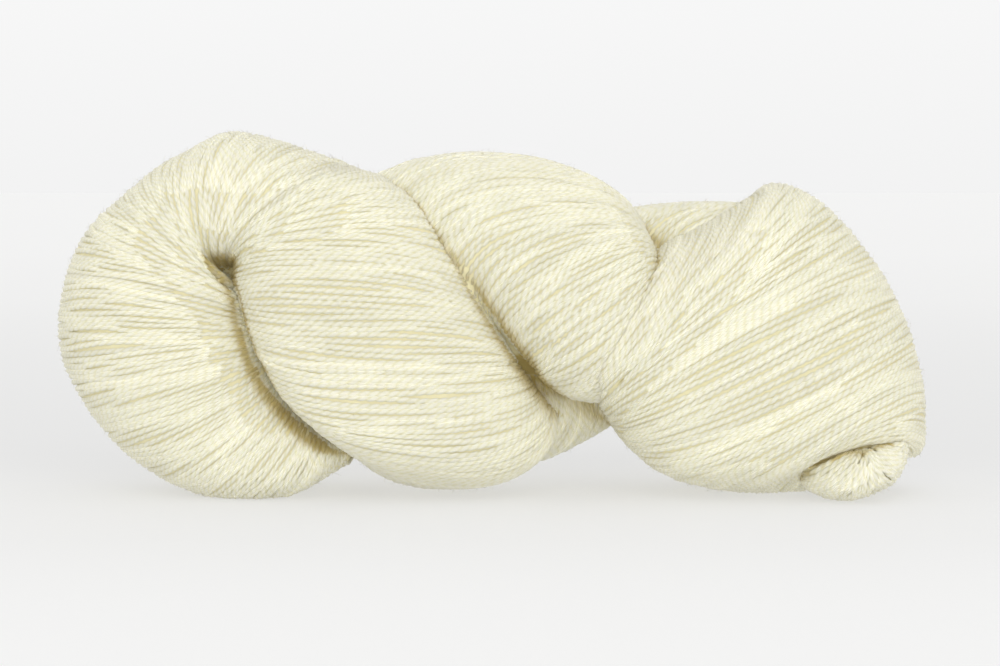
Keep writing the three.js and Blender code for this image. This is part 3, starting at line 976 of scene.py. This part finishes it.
# Columns: metres behind the middle of the hank, tone of the paper with its painted shade.
PAPER_TONES_AND_PAINTED_SHADE = [
    [-0.26, 0.885],
    [-0.18, 0.868],
    [-0.1, 0.835],
    [-0.02, 0.825],
    [0.08, 0.775],
    [0.21, 0.775],
    [0.53, 0.79],
    [1.2, 0.83],
    [2.5, 0.85],
    [8, 0.855],
]

bpy.ops.mesh.primitive_plane_add(size=FLOOR_SIZE, location=(0, 0, 0))
floor = bpy.context.object
floor.name = "floor"
floor_material = bpy.data.materials.new("white_sweep")
floor_material.use_nodes = True
tree = floor_material.node_tree
place = node(tree, "ShaderNodeTexCoord").outputs["Object"]
_, behind, _ = node(tree, "ShaderNodeSeparateXYZ", place).outputs
nearest, furthest = PAPER_TONES_AND_PAINTED_SHADE[0][0], PAPER_TONES_AND_PAINTED_SHADE[-1][0]
share = node(tree, "ShaderNodeMapRange", behind, nearest, furthest)
ramp = node(tree, "ShaderNodeValToRGB", share.outputs[0])
stops = ramp.color_ramp.elements
stops.remove(stops[-1])
# Painted shade: the paper's tone dips just behind the hank and rises again further back.
for metres_behind, tone in PAPER_TONES_AND_PAINTED_SHADE:
    position = (metres_behind - nearest) / (furthest - nearest)
    stop = stops[0] if position == 0 else stops.new(position)
    stop.color = (tone, tone, tone * FLOOR_WARMTH, 1)
shader = tree.nodes["Principled BSDF"]
paper = node(tree, "ShaderNodeVectorMath", ramp.outputs["Color"], operation="SCALE")
paper.inputs["Scale"].default_value = 1 - FLOOR_GLOW
tree.links.new(paper.outputs[0], shader.inputs["Base Color"])
tree.links.new(ramp.outputs["Color"], shader.inputs["Emission Color"])
shader.inputs["Emission Strength"].default_value = FLOOR_GLOW
shader.inputs["Roughness"].default_value = FLOOR_ROUGHNESS
floor.data.materials.append(floor_material)
floor.select_set(False)

# %% Sky and softbox
SKY_LIGHT = 0.82
HORIZON_TONE = 0.895
TOP_TONE = 0.95
TOP_RISE = 0.11
SOFTBOX_STRENGTH = 1.05
SOFTBOX_ANGLE = math.radians(50)
SOFTBOX_PLACE = (0.2, -1, 1)
SOFTBOX_TURN = (math.radians(66), 0, math.radians(6))

world = bpy.data.worlds.new("studio")
bpy.context.scene.world = world
world.use_nodes = True
tree = world.node_tree
_, _, up = node(tree, "ShaderNodeSeparateXYZ", node(tree, "ShaderNodeTexCoord").outputs["Generated"]).outputs
seen = node(tree, "ShaderNodeMapRange", up, 0, TOP_RISE, HORIZON_TONE, TOP_TONE).outputs[0]
is_camera = node(tree, "ShaderNodeLightPath").outputs["Is Camera Ray"]
strength = node(tree, "ShaderNodeMix", is_camera, None, SKY_LIGHT, seen).outputs[0]
tree.links.new(strength, tree.nodes["Background"].inputs["Strength"])
tree.nodes["Background"].inputs["Color"].default_value = (1, 1, 1, 1)

bpy.ops.object.light_add(type="SUN", location=SOFTBOX_PLACE, rotation=SOFTBOX_TURN)
softbox = bpy.context.object
softbox.name = "softbox"
softbox.data.energy = SOFTBOX_STRENGTH
softbox.data.angle = SOFTBOX_ANGLE
bpy.context.scene.view_settings.view_transform = "Standard"
print("sky", SKY_LIGHT, "softbox", SOFTBOX_STRENGTH)
